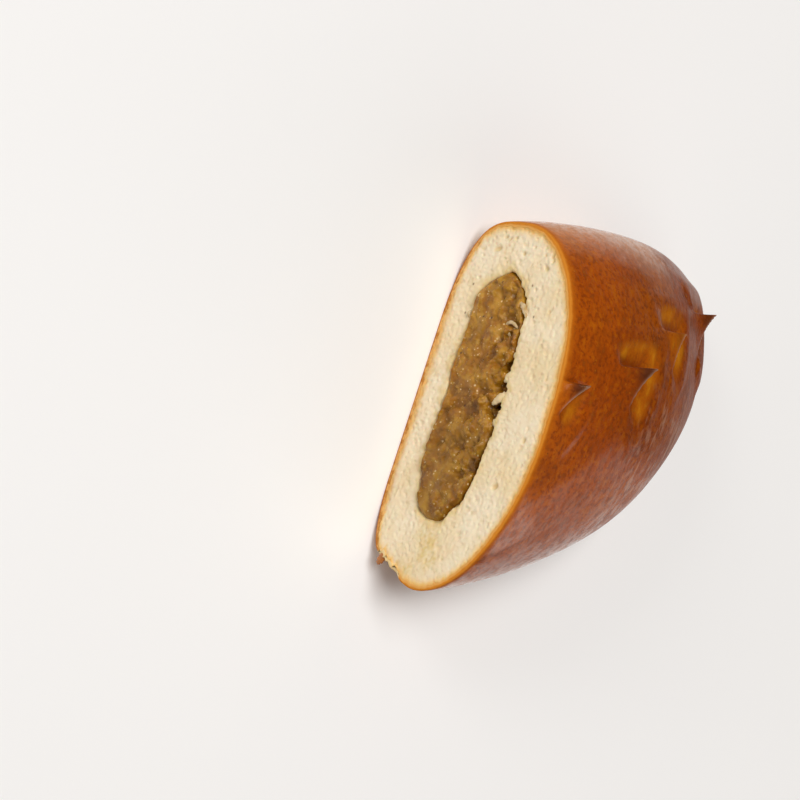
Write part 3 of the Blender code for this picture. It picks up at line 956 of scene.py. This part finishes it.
@dataclass(frozen=True)
class CrumbFinish:
    """Soft cream crumb with browner edges, moist yellow dough by the apple and painted pore shade.
    """

    cream: Color = (0.800, 0.635, 0.385)
    pale: Color = (0.860, 0.735, 0.535)
    pore: Color = (0.620, 0.430, 0.170)
    moist: Color = (0.680, 0.490, 0.180)
    soaked_and_shaded: Color = (0.330, 0.170, 0.035)
    golden: Color = (0.840, 0.520, 0.170)
    ring: Color = (0.800, 0.410, 0.090)
    base: Color = (0.620, 0.340, 0.110)
    speck: Color = (0.120, 0.050, 0.012)

    def material(self) -> bpy.types.Material:
        """Build the finish."""
        s = Shader("crumb_finish")
        broad, fine, dust = s.noise(6 * MM), s.noise(1.1 * MM, 4.0, 0.6), s.noise(0.45 * MM)
        foam = s.cells(1.25 * MM)
        edge = s.mask(Mask.EDGE) + 0.9 * MM * (fine - 0.5)
        height = s.axis("Z") + 2.6 * MM * (fine - 0.5)
        color = s.layers(
            self.cream,
            (broad.step(0.3, 0.7), self.pale),
            # painted shade of small holes, and in the pressed pores by the pore mask
            (fine.step(0.50, 0.72) * 0.22, self.pore),
            (foam.fall(0.10, 0.42) * fine.step(0.40, 0.60) * 0.20, self.pore),
            (s.mask(Mask.MOIST) * (0.45 + 0.5 * fine), self.moist),
            (s.mask(Mask.PORE_SHADE) * 0.60, self.pore),
            (edge.fall(0.0, 2.2 * MM) * 0.85, self.golden),
            (edge.fall(-0.1 * MM, 1.0 * MM) * 0.80, self.ring),
            (height.fall(0.6 * MM, 3.0 * MM) * 0.70, self.base),
            (s.mask(Mask.SPECK).clamp() * 0.8, self.speck),
            # soaked crumb, darkening down the lining of the hollow as painted shade
            (s.mask(Mask.RECESS_SHADE) * 0.85, self.soaked_and_shaded),
        )
        return s.finish(
            Base_Color=color,
            Roughness=0.85,
            Normal=s.bumps((fine, 0.22 * MM), (foam.step(0.0, 0.5), 0.12 * MM), (dust, 0.06 * MM)),
            Specular_IOR_Level=0.2,
            Subsurface_Weight=0.15,
            Subsurface_Scale=1.2 * MM,
        )


@dataclass(frozen=True)
class AppleFinish:
    """Wet cooked apple: olive tan pulp with clearer yellow pieces and brown specks."""

    pulp: Color = (0.310, 0.120, 0.008)
    clear: Color = (0.335, 0.146, 0.007)
    pale: Color = (0.535, 0.285, 0.036)
    brown: Color = (0.138, 0.051, 0.003)
    painted_glint: Color = (0.800, 0.610, 0.300)
    speck: Color = (0.045, 0.018, 0.006)

    def material(self) -> bpy.types.Material:
        """Build the finish."""
        s = Shader("apple_finish")
        middle, fine = s.noise(2.0 * MM), s.noise(0.7 * MM, 4.0, 0.65)
        small, large = s.cells(0.95 * MM), s.cells(2.1 * MM)
        # painted glints: small pale spots standing for wet highlights
        painted_glints = small.fall(0.10, 0.24) * fine.step(0.44, 0.56) + large.fall(0.06, 0.15)
        specks = s.cells(2.8 * MM).fall(0.03, 0.08) * 0.6 + s.mask(Mask.SPECK)
        color = s.layers(
            self.pulp,
            (s.mask(Mask.TINT).step(0.2, 0.9), self.clear),
            (middle.step(0.48, 0.66) * 0.55, self.pale),
            (middle.fall(0.30, 0.48) * 0.60, self.brown),
            # painted shade in creases, voids and on the hidden wall
            (s.mask(Mask.RECESS_SHADE) * 0.75, self.brown),
            (fine.step(0.50, 0.66) * 0.50, self.pale),
            (painted_glints.clamp() * middle.step(0.34, 0.50) * 0.75, self.painted_glint),
            (specks.clamp() * 0.9, self.speck),
        )
        # painted shade: the apple darker towards its low side
        low_side = s.axis("X").step(4 * MM, 12 * MM)
        return s.finish(
            Base_Color=s.tone(color, 1.0 - 0.19 * low_side),
            Roughness=(0.08 + 0.16 * middle).clamp(),
            Normal=s.bumps((middle, 0.40 * MM), (fine, 0.42 * MM)),
            Specular_IOR_Level=0.30,
            Subsurface_Weight=0.15,
            Subsurface_Scale=1.0 * MM,
        )


@dataclass(frozen=True)
class FlakeFinish:
    """Pale wet skins of apple that lie on the filling."""

    tan: Color = (0.460, 0.290, 0.100)
    milky: Color = (0.640, 0.480, 0.260)

    def material(self) -> bpy.types.Material:
        """Build the finish."""
        s = Shader("flake_finish")
        fine = s.noise(0.6 * MM)
        return s.finish(
            Base_Color=s.layers(self.tan, (fine.step(0.35, 0.60), self.milky)),
            Roughness=(0.25 + 0.2 * fine).clamp(),
            Normal=s.bumps((fine, 0.10 * MM)),
            Specular_IOR_Level=0.4,
            Coat_Weight=0.5,
            Coat_Roughness=0.08,
            Subsurface_Weight=0.2,
            Subsurface_Scale=1.0 * MM,
        )


@dataclass(frozen=True)
class FloorFinish:
    """Matt white paper."""

    white: Color = (0.940, 0.930, 0.923)

    def material(self) -> bpy.types.Material:
        """Build the finish."""
        s = Shader("floor_finish")
        color = s.tone(self.white, 0.985 + 0.03 * s.noise(60 * MM, 1.0))
        return s.finish(Base_Color=color, Roughness=0.9, Specular_IOR_Level=0.1)


@dataclass
class Crust:
    """The browned shell: outer skin, cut edge and an inner surface, closed."""

    skin: BunSkin
    finish: CrustFinish = field(default_factory=CrustFinish)
    columns: int = 440
    rows: int = 184
    rind_rings: int = 5
    inner_rows: int = 8
    depth: float = 2.6 * MM
    spine_density: float = 1.6
    snip_density: float = 1.4
    snip_reach: float = 5.0 * MM

    def build(self) -> None:
        """Build the shell from its far end over the skin to the cut and back inside."""
        turns = self.skin.form.turns(self.columns, self.spine_density)
        progress = self.skin.progress(self.rows, self.snip_density, self.snip_reach)
        outer, outer_masks = self.skin.relieved(self.skin.smooth(turns, progress), 0.0)
        shares = (np.arange(self.rind_rings) + 1.0) / self.rind_rings
        rows = self.skin.smooth(turns, np.linspace(0.05, 0.97, self.inner_rows))
        parts = [
            (outer[::-1], {mask: values[::-1] for mask, values in outer_masks.items()}),
            *(self.skin.edge_ring(turns, float(share)) for share in shares),
            self.skin.relieved(rows, self.depth, flaps=False),
        ]
        masks = {mask: np.concatenate([part[1][mask] for part in parts]) for mask in outer_masks}
        rind = np.concatenate([np.zeros(self.rows), shares, np.ones(self.inner_rows)])
        masks[Mask.RIND] = rind[:, None] * np.ones(self.columns)
        rings = np.concatenate([part[0] for part in parts])
        tips = [self.skin.end_point(0.0), self.skin.end_point(self.depth)]
        piece = make_body("crust_shell", self.skin, rings, tips, masks)
        settle(piece, self.finish.material(), Slot.CRUST, "bread")


@dataclass
class Crumb:
    """The pale inside: the cut face with its pores and the lining of the hollow.

    Random pores are given by their number, the ranges in mm of their place and size,
    and their depth as a share of their size. Marked pores have their place and size in
    mm, how much longer than wide they are, and their turn.
    """

    skin: BunSkin
    hollow: Hollow
    finish: CrumbFinish = field(default_factory=CrumbFinish)
    columns: int = 900
    face_rings: int = 82
    lining_rings: int = 18
    back_rings: int = 4
    lap: float = 0.8
    behind: float = 2.5 * MM
    behind_end: float = 4.0 * MM
    ends: tuple[float, float] = (0.0, 1.0)
    tuck: float = 0.08 * MM
    tuck_reach: float = 0.35 * MM
    wave: float = 0.14 * MM
    ripple: float = 0.05 * MM
    lowest: float = 0.1 * MM
    rim_drop: float = 0.7 * MM
    rim_reach: float = 0.9 * MM
    fray: tuple[float, float] = (0.06 * MM, 0.26 * MM)
    fray_rise: float = 4.0 * MM
    lining_rough: float = 0.25 * MM
    pore_shown: tuple[float, float] = (0.05 * MM, 0.42 * MM)
    damp_reach: float = 2.8 * MM
    damp_uneven: float = 0.7 * MM
    patch_size: float = 3.0 * MM
    speck_size: float = 0.26 * MM
    random_pores: Sequence[tuple] = (
        (2200, (-42.0, 42.0), (0.0, 41.0), (0.14, 0.36), 0.38),
        (300, (-42.0, 42.0), (0.0, 41.0), (0.32, 0.70), 0.36),
        (9, (29.0, 35.5), (6.0, 27.0), (0.4, 0.65), 0.8),
    )
    marked_pores: Sequence[tuple[float, float, float, float, float]] = (
        (32.2, 9.9, 0.75, 2.0, 1.2),
        (35.0, 11.3, 0.55, 1.5, 1.2),
        (35.1, 14.3, 0.50, 1.5, 1.6),
        (29.7, 25.6, 0.70, 1.4, 2.2),
        (25.0, 24.4, 0.40, 1.3, 2.4),
        (7.3, 35.1, 0.45, 1.4, 0.2),
        (-5.7, 34.5, 0.65, 1.3, 0.3),
        (-16.1, 30.7, 0.80, 1.4, 0.9),
        (-33.2, 22.7, 0.45, 1.4, 1.0),
    )
    marked_depth: float = 0.7
    grain_centre: float = 16.0 * MM
    specks: Sequence[tuple[float, float]] = ((17.6, 6.3), (25.7, 23.2), (19.4, 26.2), (23.9, 6.2))
    damp_patches: Sequence[tuple[float, float]] = ((-29.5, 17.0), (-33.5, 18.5), (-38.0, 13.0))

    def relief(self) -> ReliefMap:
        """Stamp the pores, the random ones longer along the outline of the bun."""
        chart = ReliefMap()
        random = np.random.default_rng(23)
        for count, along, up, sizes, deep in self.random_pores:
            for _ in range(count):
                v, z, size = (random.uniform(*limits) * MM for limits in (along, up, sizes))
                longer = random.uniform(1.0, 2.0)
                turn = math.atan2(z - self.grain_centre, v) + 0.5 * math.pi + random.normal(0.0, 0.5)
                self.press(chart, v, z, size, deep, longer, turn)
        for v, z, size, longer, turn in self.marked_pores:
            self.press(chart, v * MM, z * MM, size * MM, self.marked_depth, longer, turn)
        chart.blur(3)
        # the tint holds the painted shade of the pores
        chart.tint = smooth_step(-chart.height, *self.pore_shown)
        return chart

    @staticmethod
    def press(
        chart: ReliefMap, v: float, z: float, size: float, deep: float, longer: float, turn: float
    ) -> None:
        """Press one pore into the chart: a bowl deep * size * (1 - r^2) in an oval."""
        window, bowl = chart.oval(v, z, size * longer, size, turn)
        chart.height[window] = np.minimum(chart.height[window], -deep * size * bowl)

    def build(self) -> None:
        """Build the closed body from its hidden back over the face into the hollow."""
        turns = self.skin.form.turns(self.columns, 0.0)
        rows = self.skin.smooth(turns, np.linspace(0.97, 0.05, self.back_rings)[::-1])
        behind = self.skin.relieved(rows, self.behind, flaps=False)[0][::-1]
        outline = self.skin.edge_ring(turns, self.lap)[0][0]
        rim = self.ragged(self.hollow.edge(self.hollow.angles(outline)))
        share = (np.arange(self.face_rings + 1) / self.face_rings)[:, None, None]
        flat = outline[None] * (1.0 - share) + rim[None] * share
        hollow, skin = self.hollow, self.skin
        lining, deepest = hollow.rings(skin.cut, rim, hollow.end, self.lining_rings)
        edge = np.linalg.norm(flat - outline[None], axis=-1)
        near_rim = np.linalg.norm((flat - rim[None])[..., 1:], axis=-1)
        face, pore = self.textured(flat, edge, near_rim)
        lining, sunk = self.rough_lining(lining, face[-1])
        uneven = self.damp_uneven * WaveNoise(3 * MM, 5).at(face)
        damp = 1.0 - smooth_step(near_rim + uneven, 0.0, self.damp_reach)
        patches = spots(face, self.damp_patches, self.patch_size)
        patches = patches * (0.6 + 0.4 * WaveNoise(2 * MM, 6).at(face))
        damp = np.clip(np.maximum(damp, patches), 0.0, 1.0)
        speck = spots(face, self.specks, self.speck_size)
        blank = np.zeros((len(behind), self.columns))
        ones = np.ones((len(lining) - 1, self.columns))
        # the pore mask paints shade into the pores and the depth mask paints it down the lining
        masks = {
            Mask.EDGE: np.concatenate([blank, edge, ones]),
            Mask.PORE_SHADE: np.concatenate([blank, pore, 0.0 * ones]),
            Mask.MOIST: np.concatenate([blank, damp, ones]),
            Mask.RECESS_SHADE: np.concatenate([blank, 0.0 * edge, sunk[1:]]),
            Mask.SPECK: np.concatenate([blank, speck, 0.0 * ones]),
        }
        rings = np.concatenate([behind, face, lining[1:]])
        tips = [skin.end_point(self.behind_end), deepest]
        piece = make_body("crumb_inside", skin, rings, tips, masks, self.ends)
        settle(piece, self.finish.material(), Slot.CRUST, "bread")

    def ragged(self, rim: Array) -> Array:
        """Fray the rim of the hollow with noise along it, most on the dome side."""
        middle, rise = self.hollow.z, self.fray_rise
        upper = smooth_step(rim[:, 2], middle - rise, middle + rise)
        rough = WaveNoise(3.4 * MM, 61, 20, 0.8).at(rim[:, 1:])
        rough = rough + 0.3 * WaveNoise(1.3 * MM, 62, 20, 0.8).at(rim[:, 1:])
        amount = (self.fray[0] + self.fray[1] * upper) * rough
        return rim + unit(self.hollow.centre - rim) * amount[:, None]

    def textured(self, face: Array, edge: Array, near_rim: Array) -> tuple[Array, Array]:
        """Move the face by its pores, a slight waviness, a tucked edge and a soft rim.

        Args:
            face: Flat rings of the cut face.
            edge: Distance of each point from the outer ring.
            near_rim: Distance of each point from the hollow.

        Returns:
            The moved rings, and how deep in a pore each point lies, for the painted pore shade.
        """
        chart = self.relief()
        height, pore = chart.read(chart.height, face), chart.read(chart.tint, face)
        wavy = self.wave * WaveNoise(9 * MM, 3).at(face)
        wavy = wavy + self.ripple * WaveNoise(1.4 * MM, 4).at(face)
        free = smooth_step(edge, 0.1 * MM, 0.7 * MM)
        soft = np.maximum(0.0, 1.0 - near_rim / self.rim_reach)
        moved = face.copy()
        moved[..., 0] += free * (-height + np.maximum(wavy, -self.lowest) + self.lowest)
        moved[..., 0] += self.rim_drop * (1.0 - np.sqrt(1.0 - soft ** 2))
        moved[..., 0] += self.tuck * (1.0 - smooth_step(edge, 0.0, self.tuck_reach))
        return moved, pore * free

    def rough_lining(self, lining: Array, rim: Array) -> tuple[Array, Array]:
        """Roughen the lining and give the depth behind the cut as a share, which paints shade."""
        rough = self.lining_rough * WaveNoise(1.8 * MM, 9).at(lining)
        outward = unit((lining - self.hollow.centre) * np.array([0.0, 1.0, 1.0]))
        share = smooth_step(np.arange(len(lining)) / len(lining), 0.0, 0.1)[:, None]
        moved = lining + outward * (rough * share)[..., None]
        moved[0] = rim
        return moved, smooth_step(lining[..., 0], 0.1 * MM, 1.5 * MM)


@dataclass
class Apple:
    """The cooked apple: a lumpy wet front and a core that runs into the bun.

    Each kind of lump has its number, the ranges in mm of its half length and height,
    how often it is softened and whether it has a tint of its own. Voids have their
    place, reach and width in mm, and pits and specks their place.
    """

    skin: BunSkin
    hollow: Hollow
    finish: AppleFinish = field(default_factory=AppleFinish)
    columns: int = 680
    front_rings: int = 110
    wall_rings: int = 14
    gap: float = 0.02 * MM
    end_gap: float = 1.5 * MM
    ends: tuple[float, float] = (1.0, 0.3)
    sunk: float = 0.9 * MM
    shoulder: float = 1.3 * MM
    set_back: float = 0.35 * MM
    lump_spread: tuple[float, float] = (29.0, 11.0)
    ragged: float = 0.22 * MM
    pit_depth: float = 1.5 * MM
    pit_size: float = 0.6 * MM
    speck_size: float = 0.28 * MM
    crease_shade_fade: tuple[float, float] = (0.20 * MM, 0.85 * MM)
    lump_start: float = 1.2 * MM
    crown: float = 0.2 * MM
    lumps: Sequence[tuple] = (
        (130, (2.0, 4.6), (0.8, 1.8), 5, True),
        (420, (0.8, 1.8), (0.30, 0.75), 2, False),
        (900, (0.30, 0.8), (0.12, 0.38), 1, False),
    )
    voids: Sequence[tuple[float, float, float]] = (
        (-1.4, 1.9, 3.2),
        (3.8, 1.2, 2.4),
        (8.3, 1.1, 1.9),
        (-13.0, 2.6, 1.0),
    )
    pits: Sequence[tuple[float, float]] = ((15.1, 20.9), (14.3, 20.4))
    specks: Sequence[tuple[float, float]] = (
        (25.3, 14.9), (17.5, 15.2), (17.5, 12.5), (-1.4, 14.4), (9.0, 9.6),
    )

    def relief(self) -> ReliefMap:
        """Pile up the pieces of apple: each is a cap height * (1 - r^2), the highest counts."""
        chart = ReliefMap(cell=0.1 * MM)
        random = np.random.default_rng(41)
        along, up = self.lump_spread
        for count, sizes, heights, blurs, tinted in self.lumps:
            below = chart.height.copy()
            chart.height[:] = 0.0
            for _ in range(count):
                v = self.hollow.v + random.uniform(-along, along) * MM
                z = self.hollow.z + random.uniform(-up, up) * MM
                size = random.uniform(*sizes) * MM
                flat = size * random.uniform(0.45, 0.85)
                window, cap = chart.oval(v, z, size, flat, random.uniform(0.0, math.pi))
                cap = random.uniform(*heights) * MM * cap
                above = (cap > chart.height[window]) & tinted
                chart.tint[window] = np.where(above, random.uniform(), chart.tint[window])
                chart.height[window] = np.maximum(chart.height[window], cap)
            chart.blur(blurs)
            chart.height += below
        return chart

    def inset(self, angle: Array) -> Array:
        """Return how far the apple stays off the edge of the hollow, wide at the voids."""
        edge = self.hollow.edge(angle)
        upper = edge[:, 2] > self.hollow.z
        total = np.full(len(angle), self.gap)
        for v, reach, width in self.voids:
            total += width * MM * upper * hump(edge[:, 1] - v * MM, reach * MM)
        return total + self.ragged * np.maximum(WaveNoise(2.6 * MM, 12).at(edge), 0.0) * upper

    def build(self) -> None:
        """Build the closed body from its end in the bun to the middle of its front."""
        hollow, skin = self.hollow, self.skin
        even = np.linspace(-math.pi, math.pi, 4001)
        edge = hollow.edge(even[:-1])
        length = np.linalg.norm(np.diff(edge, axis=0, append=edge[:1]), axis=1)
        angle = evened(self.columns, even, length)
        edge = hollow.edge(angle, self.inset(angle))
        wall, deepest = hollow.rings(skin.cut, edge, hollow.end - self.end_gap, self.wall_rings)
        wall = wall[:0:-1]
        along = np.array([1.0, math.tan(skin.cut.slant), 0.0])
        centre = hollow.centre + self.sunk * along
        upper = smooth_step(edge[:, 2], hollow.z - 3.0 * MM, hollow.z + 5.0 * MM)
        start = edge + (self.sunk * (0.2 + 0.8 * upper))[:, None] * along
        share = (np.arange(self.front_rings) / self.front_rings)[:, None, None]
        front = start * (1.0 - share) + centre * share
        chart = self.relief()
        height, tint = chart.read(chart.height, front), chart.read(chart.tint, front)
        from_edge = np.linalg.norm(front - front[:1], axis=-1)
        shoulder = self.shoulder * (0.35 + 0.65 * upper)
        bend = np.maximum(0.0, 1.0 - from_edge / shoulder)
        hole = np.minimum(spots(front, self.pits, self.pit_size), 1.0)
        speck = spots(front, self.specks, self.speck_size)
        # painted shade in creases between lumps, on the upper shoulder by the voids and in the pits
        crease_shade = 0.8 * (1.0 - smooth_step(height, *self.crease_shade_fade))
        crease_shade = np.maximum(np.maximum(crease_shade, bend ** 2 * upper), hole)
        front[..., 0] += shoulder * (1.0 - np.sqrt(1.0 - bend ** 2)) + self.pit_depth * hole
        front[..., 0] += self.set_back * (0.2 + 0.8 * upper)
        shown = smooth_step(from_edge, 0.0, self.lump_start)
        front[..., 0] -= height * shown * (0.6 + 0.4 * upper)
        blank = np.zeros(wall.shape[:2])
        # the hidden wall takes full painted shade, the front the crease shade
        masks = {
            Mask.TINT: np.concatenate([blank, tint]),
            Mask.RECESS_SHADE: np.concatenate([blank + 1.0, crease_shade]),
            Mask.SPECK: np.concatenate([blank, speck]),
        }
        tips = [deepest, centre + np.array([self.crown, 0.0, 0.0])]
        rings = np.concatenate([wall, front])
        piece = make_body("apple_mass", skin, rings, tips, masks, self.ends)
        settle(piece, self.finish.material(), Slot.APPLE, "apple_filling")


@dataclass(frozen=True)
class Shred:
    """A small bent strip, thickest in the middle and closed to a point at both ends.

    Its middle line is the parabola through three points in cut coordinates. The
    section is an oval whose size follows sin(pi * s)^blunt along the line, made uneven.
    Its lengths are in mm.
    """

    start: Point
    middle: Point
    end: Point
    width: float
    thickness: float
    roll: float = 0.0
    blunt: float = 0.45
    steps: int = 14
    sides: int = 10

    def points(self, seed: int) -> Array:
        """Return the rings of the strip and its two tips, one row each, in cut coordinates."""
        random = np.random.default_rng(seed)
        s = np.linspace(0.0, 1.0, self.steps + 2)[1:-1, None]
        ends = np.array([self.start, self.middle, self.end]) * MM
        shares = [(1.0 - s) * (1.0 - 2.0 * s), 4.0 * s * (1.0 - s), s * (2.0 * s - 1.0)]
        line = sum(end * share for end, share in zip(ends, shares))
        along = unit(np.gradient(line, axis=0))
        side = unit(np.cross(along, [-math.cos(self.roll), 0.0, math.sin(self.roll)]))
        out = np.cross(side, along)
        size = np.sin(math.pi * s) ** self.blunt * random.uniform(0.8, 1.2, s.shape)
        size = 0.5 * MM * size[..., None]
        turn = 2.0 * math.pi * np.arange(self.sides)[:, None] / self.sides
        across = self.width * size * np.cos(turn) * side[:, None]
        over = self.thickness * size * np.sin(turn) * out[:, None]
        rings = line[:, None] + across + over
        return np.concatenate([rings.reshape(-1, 3), ends[[0, 2]]])


@dataclass
class LooseEnds:
    """Shreds of crumb over the apple, skins of apple and loose flakes of crust."""

    skin: BunSkin
    crumb_finish: CrumbFinish = field(default_factory=CrumbFinish)
    flake_finish: FlakeFinish = field(default_factory=FlakeFinish)
    crust_finish: CrustFinish = field(default_factory=CrustFinish)
    crumbs: Sequence[Shred] = (
        Shred((0.9, 7.9, 26.4), (0.6, 6.4, 24.7), (1.0, 5.4, 22.9), 2.0, 1.0),
        Shred((0.9, 3.0, 26.0), (0.6, 1.7, 23.9), (1.1, 0.1, 21.6), 2.0, 1.0),
        Shred((0.9, -2.2, 26.2), (0.6, -3.1, 25.0), (1.0, -4.0, 23.8), 1.7, 0.9),
        Shred((0.9, 11.4, 25.4), (0.6, 11.0, 24.5), (1.0, 10.6, 23.7), 1.4, 0.8),
        Shred((0.9, -8.2, 26.8), (0.6, -8.8, 25.6), (1.0, -9.4, 24.8), 1.4, 0.8),
    )
    skins: Sequence[Shred] = (
        Shred((0.4, 21.9, 20.6), (-0.2, 20.8, 23.2), (0.3, 18.6, 24.4), 1.10, 0.30, 0.5),
        Shred((0.9, 16.1, 18.3), (0.1, 17.4, 20.5), (0.7, 16.4, 22.5), 0.80, 0.30, 0.4),
        Shred((1.0, 15.8, 18.9), (0.5, 15.4, 20.0), (1.0, 14.5, 20.9), 0.70, 0.25, 0.4),
        Shred((0.3, 18.4, 7.9), (-0.2, 17.5, 7.9), (0.2, 16.6, 8.6), 0.90, 0.16),
    )
    crusts: Sequence[Shred] = (
        Shred((0.8, -34.8, 6.6), (0.3, -36.6, 5.4), (0.5, -38.2, 4.3), 1.6, 0.7, 0.5),
        Shred((37.2, -21.7, 15.0), (42.7, -17.2, 15.0), (47.5, -12.3, 15.0), 0.7, 2.0),
    )
    from_edge: float = 9.0 * MM

    def build(self) -> None:
        """Build one piece for each kind."""
        kinds = (
            ("crumb_shreds", self.crumbs, self.crumb_finish, Slot.CRUST, Mask.MOIST, 0.5),
            ("apple_skins", self.skins, self.flake_finish, Slot.APPLE, Mask.TINT, 0.0),
            ("crust_flakes", self.crusts, self.crust_finish, Slot.CRUST, Mask.TOAST, 0.35),
        )
        for name, shreds, finish, slot, mask, amount in kinds:
            points = np.concatenate([shred.points(seed) for seed, shred in enumerate(shreds)])
            step = len(points) // len(shreds)
            faces = [
                block + number * step
                for number, shred in enumerate(shreds)
                for block in closed_faces(shred.steps, shred.sides)
            ]
            blank = np.zeros(len(points))
            masks = {Mask.EDGE: blank + self.from_edge, mask: blank + amount}
            piece = make_piece(name, self.skin.to_world(points), faces, masks)
            settle(piece, finish.material(), slot)


@dataclass(frozen=True)
class Lamp:
    """A square soft light that faces the bun from a direction, in metres and watts."""

    name: str
    direction: Point
    distance: float
    size: float
    power: float
    color: Color
    aim: Point = (0.0, 0.0, 0.02)

    def build(self) -> None:
        """Add the light."""
        data = bpy.data.lights.new(self.name, "AREA")
        data.size, data.energy, data.color = self.size, self.power, self.color
        light = bpy.data.objects.new(self.name, data)
        toward = unit(np.array(self.direction))
        side = unit(np.cross([0.0, 0.0, 1.0], toward))
        place = toward * self.distance + np.array(self.aim)
        axes = np.column_stack([side, np.cross(toward, side), toward, place])
        light.matrix_world = Matrix([*axes.tolist(), [0.0, 0.0, 0.0, 1.0]])
        bpy.context.scene.collection.objects.link(light)


@dataclass
class Studio:
    """Floor, soft lights and the camera at the photograph's viewing angle."""

    eye: Point = (42.205 * MM, -364.140 * MM, 360.539 * MM)
    right: Point = (-0.3112328, 0.6909020, 0.6525248)
    up: Point = (-0.9475366, -0.2782453, -0.1573339)
    back: Point = (0.0728597, -0.6672586, 0.7412540)
    lens: float = 104.255
    sensor: float = 36.0
    clip_start: float = 0.01
    floor_half: float = 2.0
    floor_drop: float = 0.1 * MM
    world_color: Color = (1.0, 0.985, 0.965)
    world_strength: float = 0.06
    key: Point = (-0.25, 0.55, 1.0)
    finish: FloorFinish = field(default_factory=FloorFinish)

    def lamps(self) -> Sequence[Lamp]:
        """Return the lights. The key's direction is given along the camera's axes."""
        key = np.array(self.key) @ np.array([self.right, self.up, self.back])
        return (
            Lamp("key_window", tuple(key), 0.9, 0.24, 1.2, (1.0, 0.985, 0.96)),
            Lamp("back_window", (0.26, 0.94, 0.24), 1.8, 1.0, 2.0, (1.0, 0.94, 0.89)),
            Lamp("glint_window", (-0.10, -0.97, 0.24), 0.9, 0.12, 0.2, (1.0, 0.98, 0.95)),
            Lamp("side_window", (0.62, 0.60, 0.50), 1.2, 1.0, 3.2, (1.0, 0.93, 0.87)),
            Lamp("top_window", (-0.22, -0.42, 0.88), 3.5, 1.6, 104.0, (1.0, 0.99, 0.975)),
        )

    def camera(self) -> None:
        """Set the camera from its eye point and its three axes."""
        data = bpy.data.cameras.new("camera")
        data.lens, data.sensor_width = self.lens, self.sensor
        data.clip_start = self.clip_start
        camera = bpy.data.objects.new("camera", data)
        rows = [list(row) for row in zip(self.right, self.up, self.back, self.eye)]
        camera.matrix_world = Matrix(rows + [[0.0, 0.0, 0.0, 1.0]])
        bpy.context.scene.collection.objects.link(camera)
        bpy.context.scene.camera = camera

    def build(self) -> None:
        """Build the floor, the lights, the surroundings and the camera."""
        half, level = self.floor_half, -self.floor_drop
        corners = [(-half, -half), (half, -half), (half, half), (-half, half)]
        points = np.array([(*corner, level) for corner in corners])
        floor = make_piece("floor", points, [np.array([[0, 1, 2, 3]])])
        floor.data.materials.append(self.finish.material())
        world = bpy.data.worlds.new("soft_room")
        world.use_nodes = True
        background = world.node_tree.nodes["Background"]
        background.inputs["Color"].default_value = (*self.world_color, 1.0)
        background.inputs["Strength"].default_value = self.world_strength
        bpy.context.scene.world = world
        bpy.context.scene.view_settings.view_transform = "Standard"
        for lamp in self.lamps():
            lamp.build()
        self.camera()


def main() -> None:
    """Build the half bun and its studio."""
    logging.basicConfig(level=logging.INFO, format="%(name)s %(message)s")
    skin, hollow = BunSkin(), Hollow()
    for piece in (Crust(skin), Crumb(skin, hollow), Apple(skin, hollow), LooseEnds(skin)):
        piece.build()
    Studio().build()


if __name__ == "__main__":
    main()
